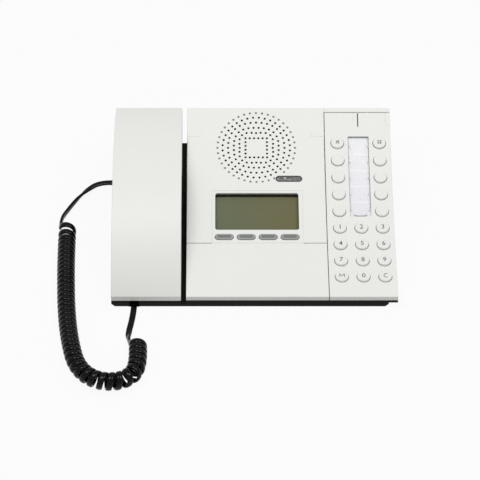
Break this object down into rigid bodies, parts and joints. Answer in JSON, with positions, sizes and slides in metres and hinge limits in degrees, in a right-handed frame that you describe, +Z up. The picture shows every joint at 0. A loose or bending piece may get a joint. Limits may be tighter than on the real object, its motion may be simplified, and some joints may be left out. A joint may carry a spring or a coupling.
{
  "type": "voip phone",
  "caption": "Desk phone with a lift-off arched handset on a curly cord, a small display, a round loudspeaker grille and a keypad.",
  "frame": {"origin": "on the table below the middle of the phone's body, cord left out", "axes": "+X to the right across the panels, +Y from the front edge to the rear, +Z up from the table"},
  "size_m": [0.3238, 0.3211, 0.0735],
  "materials": {
    "white_cover": "fine satin moulded white",
    "white_key": "satin white, grey printed signs",
    "grey_key": "satin grey",
    "black_housing": "satin black, moulded",
    "clear_lens": "clear moulded window",
    "indicator_lens": "milky lens, unlit",
    "display_glass": "olive liquid crystal, off",
    "label_paper": "plain paper with cells",
    "soft_rubber": "soft black rubber",
    "circuit_board": "green board",
    "speaker_metal": "dark steel basket",
    "cord_black": "smooth black cord jacket"
  },
  "bodies": {
    "base": {"base_tray": "black_housing", "feet": "soft_rubber", "cradle": "black_housing", "chassis": "black_housing", "centre_cover": "white_cover", "lower_cover": "white_cover", "display_frame": "white_cover", "keypad_cover": "white_cover", "rear_strip": "white_cover", "label_window": "clear_lens", "label_strip": "label_paper", "display_lens": "clear_lens", "display_gasket": "black_housing", "display_module": "display_glass", "indicator_window": "indicator_lens", "loudspeaker": "speaker_metal", "key_mat": "soft_rubber", "keypad_circuit": "circuit_board", "main_board": "circuit_board", "network_sockets": "black_housing", "cord_socket": "black_housing", "base_plug": "cord_black", "lead_base": "cord_black", "cord_coil": "cord_black", "lead_handset": "cord_black"},
    "handset": {"handset_top_shell": "white_cover", "handset_lower_shell": "white_cover", "earpiece_cap": "black_housing", "mouthpiece_cap": "black_housing", "receiver": "speaker_metal", "microphone": "black_housing", "handset_socket": "black_housing", "handset_plug": "cord_black"},
    "hook": {"hook_plunger": "black_housing"},
    "key_star": {"key_star": "white_key"},
    "key_hash": {"key_hash": "white_key"},
    "key_left_1": {"key_left_1": "white_key"},
    "key_right_1": {"key_right_1": "white_key"},
    "key_left_2": {"key_left_2": "white_key"},
    "key_right_2": {"key_right_2": "white_key"},
    "key_left_3": {"key_left_3": "white_key"},
    "key_right_3": {"key_right_3": "white_key"},
    "key_left_4": {"key_left_4": "white_key"},
    "key_right_4": {"key_right_4": "white_key"},
    "key_1": {"key_1": "white_key"},
    "key_2": {"key_2": "white_key"},
    "key_3": {"key_3": "white_key"},
    "key_4": {"key_4": "white_key"},
    "key_5": {"key_5": "white_key"},
    "key_6": {"key_6": "white_key"},
    "key_7": {"key_7": "white_key"},
    "key_8": {"key_8": "white_key"},
    "key_9": {"key_9": "white_key"},
    "key_m": {"key_m": "white_key"},
    "key_0": {"key_0": "white_key"},
    "key_c": {"key_c": "white_key"},
    "soft_key_1": {"soft_key_1": "grey_key"},
    "soft_key_2": {"soft_key_2": "grey_key"},
    "soft_key_3": {"soft_key_3": "grey_key"},
    "soft_key_4": {"soft_key_4": "grey_key"}
  },
  "joints": [
    {"name": "handset_lift", "type": "slide", "parent": "base", "child": "handset", "axis": [0, 0, 1], "range_m": [0, 0.06]},
    {"name": "hook_travel", "type": "slide", "parent": "base", "child": "hook", "axis": [0, 0, 1], "range_m": [0, 0.004]},
    {"name": "key_star_press", "type": "slide", "parent": "base", "child": "key_star", "axis": [0, 0.3496, -0.9369], "range_m": [0, 0.0015], "stiffness_N_per_m": 400},
    {"name": "key_hash_press", "type": "slide", "parent": "base", "child": "key_hash", "axis": [0, 0.3496, -0.9369], "range_m": [0, 0.0015], "stiffness_N_per_m": 400},
    {"name": "key_left_1_press", "type": "slide", "parent": "base", "child": "key_left_1", "axis": [0, 0.3216, -0.9469], "range_m": [0, 0.0015], "stiffness_N_per_m": 400},
    {"name": "key_right_1_press", "type": "slide", "parent": "base", "child": "key_right_1", "axis": [0, 0.3216, -0.9469], "range_m": [0, 0.0015], "stiffness_N_per_m": 400},
    {"name": "key_left_2_press", "type": "slide", "parent": "base", "child": "key_left_2", "axis": [0, 0.2933, -0.956], "range_m": [0, 0.0015], "stiffness_N_per_m": 400},
    {"name": "key_right_2_press", "type": "slide", "parent": "base", "child": "key_right_2", "axis": [0, 0.2933, -0.956], "range_m": [0, 0.0015], "stiffness_N_per_m": 400},
    {"name": "key_left_3_press", "type": "slide", "parent": "base", "child": "key_left_3", "axis": [0, 0.2648, -0.9643], "range_m": [0, 0.0015], "stiffness_N_per_m": 400},
    {"name": "key_right_3_press", "type": "slide", "parent": "base", "child": "key_right_3", "axis": [0, 0.2648, -0.9643], "range_m": [0, 0.0015], "stiffness_N_per_m": 400},
    {"name": "key_left_4_press", "type": "slide", "parent": "base", "child": "key_left_4", "axis": [0, 0.236, -0.9717], "range_m": [0, 0.0015], "stiffness_N_per_m": 400},
    {"name": "key_right_4_press", "type": "slide", "parent": "base", "child": "key_right_4", "axis": [0, 0.236, -0.9717], "range_m": [0, 0.0015], "stiffness_N_per_m": 400},
    {"name": "key_1_press", "type": "slide", "parent": "base", "child": "key_1", "axis": [0, 0.207, -0.9783], "range_m": [0, 0.0015], "stiffness_N_per_m": 400},
    {"name": "key_2_press", "type": "slide", "parent": "base", "child": "key_2", "axis": [0, 0.207, -0.9783], "range_m": [0, 0.0015], "stiffness_N_per_m": 400},
    {"name": "key_3_press", "type": "slide", "parent": "base", "child": "key_3", "axis": [0, 0.207, -0.9783], "range_m": [0, 0.0015], "stiffness_N_per_m": 400},
    {"name": "key_4_press", "type": "slide", "parent": "base", "child": "key_4", "axis": [0, 0.1779, -0.9841], "range_m": [0, 0.0015], "stiffness_N_per_m": 400},
    {"name": "key_5_press", "type": "slide", "parent": "base", "child": "key_5", "axis": [0, 0.1779, -0.9841], "range_m": [0, 0.0015], "stiffness_N_per_m": 400},
    {"name": "key_6_press", "type": "slide", "parent": "base", "child": "key_6", "axis": [0, 0.1779, -0.9841], "range_m": [0, 0.0015], "stiffness_N_per_m": 400},
    {"name": "key_7_press", "type": "slide", "parent": "base", "child": "key_7", "axis": [0, 0.1485, -0.9889], "range_m": [0, 0.0015], "stiffness_N_per_m": 400},
    {"name": "key_8_press", "type": "slide", "parent": "base", "child": "key_8", "axis": [0, 0.1485, -0.9889], "range_m": [0, 0.0015], "stiffness_N_per_m": 400},
    {"name": "key_9_press", "type": "slide", "parent": "base", "child": "key_9", "axis": [0, 0.1485, -0.9889], "range_m": [0, 0.0015], "stiffness_N_per_m": 400},
    {"name": "key_m_press", "type": "slide", "parent": "base", "child": "key_m", "axis": [0, 0.1191, -0.9929], "range_m": [0, 0.0015], "stiffness_N_per_m": 400},
    {"name": "key_0_press", "type": "slide", "parent": "base", "child": "key_0", "axis": [0, 0.1191, -0.9929], "range_m": [0, 0.0015], "stiffness_N_per_m": 400},
    {"name": "key_c_press", "type": "slide", "parent": "base", "child": "key_c", "axis": [0, 0.1191, -0.9929], "range_m": [0, 0.0015], "stiffness_N_per_m": 400},
    {"name": "soft_key_1_press", "type": "slide", "parent": "base", "child": "soft_key_1", "axis": [0, 0.191, -0.9816], "range_m": [0, 0.0012], "stiffness_N_per_m": 400},
    {"name": "soft_key_2_press", "type": "slide", "parent": "base", "child": "soft_key_2", "axis": [0, 0.191, -0.9816], "range_m": [0, 0.0012], "stiffness_N_per_m": 400},
    {"name": "soft_key_3_press", "type": "slide", "parent": "base", "child": "soft_key_3", "axis": [0, 0.191, -0.9816], "range_m": [0, 0.0012], "stiffness_N_per_m": 400},
    {"name": "soft_key_4_press", "type": "slide", "parent": "base", "child": "soft_key_4", "axis": [0, 0.191, -0.9816], "range_m": [0, 0.0012], "stiffness_N_per_m": 400}
  ],
  "couplings": [
    {"joint": "hook_travel", "follows": "handset_lift", "ratio": 0.066667}
  ]
}
